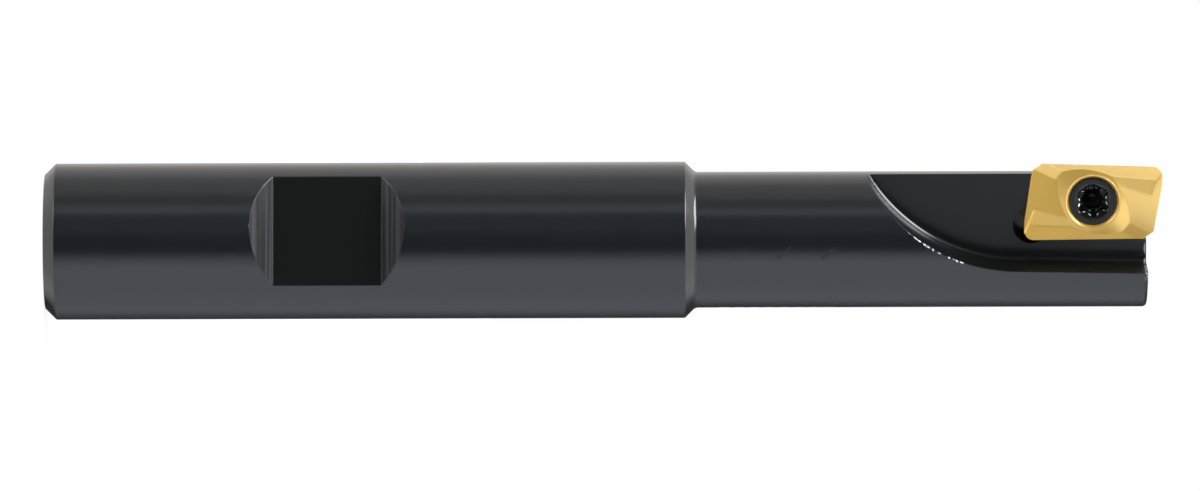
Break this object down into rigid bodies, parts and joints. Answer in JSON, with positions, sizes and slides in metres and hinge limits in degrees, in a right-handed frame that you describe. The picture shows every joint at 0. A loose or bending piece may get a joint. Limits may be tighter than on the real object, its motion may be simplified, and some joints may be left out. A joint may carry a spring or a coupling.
{
  "type": "indexable end mill",
  "caption": "Indexable end mill with a side-lock shank, a reduced neck, an open flute and a gold-coated cutting insert held by a screw.",
  "frame": {"origin": "centre of the shank's flat end, on the tool's axis", "axes": "+Z along the tool's axis from the shank end to the cutting tip, -Y the side that the insert's rake face looks to, -X the side of the cutting edge"},
  "size_m": [0.0126, 0.0126, 0.0908],
  "materials": {
    "blackened_steel": "ground tool steel with a black oxide finish",
    "gold_coated_carbide": "sintered carbide with a gold nitride coating",
    "black_screw_steel": "glossy black oxide"
  },
  "bodies": {
    "root": {"cutter_body": "blackened_steel", "insert": "gold_coated_carbide", "insert_screw": "black_screw_steel"}
  },
  "joints": []
}
